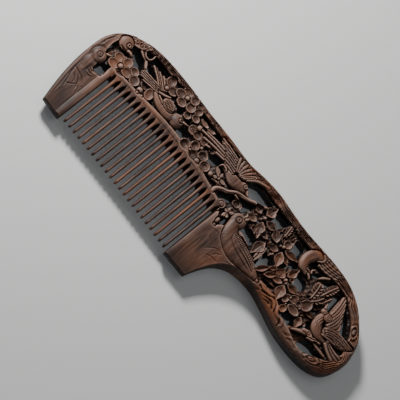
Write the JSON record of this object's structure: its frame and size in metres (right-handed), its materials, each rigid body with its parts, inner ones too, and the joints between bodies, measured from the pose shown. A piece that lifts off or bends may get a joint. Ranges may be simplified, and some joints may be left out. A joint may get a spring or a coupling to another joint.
{
  "type": "hair comb",
  "caption": "Flat wooden hair comb: planted teeth between two guards, a pierced back carved with birds and blossoms on both faces, and a rounded handle.",
  "frame": {"origin": "under the middle of the comb, on the plane its back face lies on", "axes": "+X towards the handle end (the longest extent), +Y from the tooth tips to the back edge, +Z out of the front face (the thinnest extent)"},
  "size_m": [0.1848, 0.0612, 0.012],
  "materials": {
    "plank_wood": "satin, oiled dark brown with lighter edges",
    "tooth_wood": "satin, oiled, colour varies from tooth to tooth"
  },
  "bodies": {
    "root": {"carved_back": "plank_wood", "tooth_01": "tooth_wood", "tooth_02": "tooth_wood", "tooth_03": "tooth_wood", "tooth_04": "tooth_wood", "tooth_05": "tooth_wood", "tooth_06": "tooth_wood", "tooth_07": "tooth_wood", "tooth_08": "tooth_wood", "tooth_09": "tooth_wood", "tooth_10": "tooth_wood", "tooth_11": "tooth_wood", "tooth_12": "tooth_wood", "tooth_13": "tooth_wood", "tooth_14": "tooth_wood", "tooth_15": "tooth_wood", "tooth_16": "tooth_wood", "tooth_17": "tooth_wood", "tooth_18": "tooth_wood", "tooth_19": "tooth_wood", "tooth_20": "tooth_wood", "tooth_21": "tooth_wood", "tooth_22": "tooth_wood", "tooth_23": "tooth_wood"}
  },
  "joints": []
}
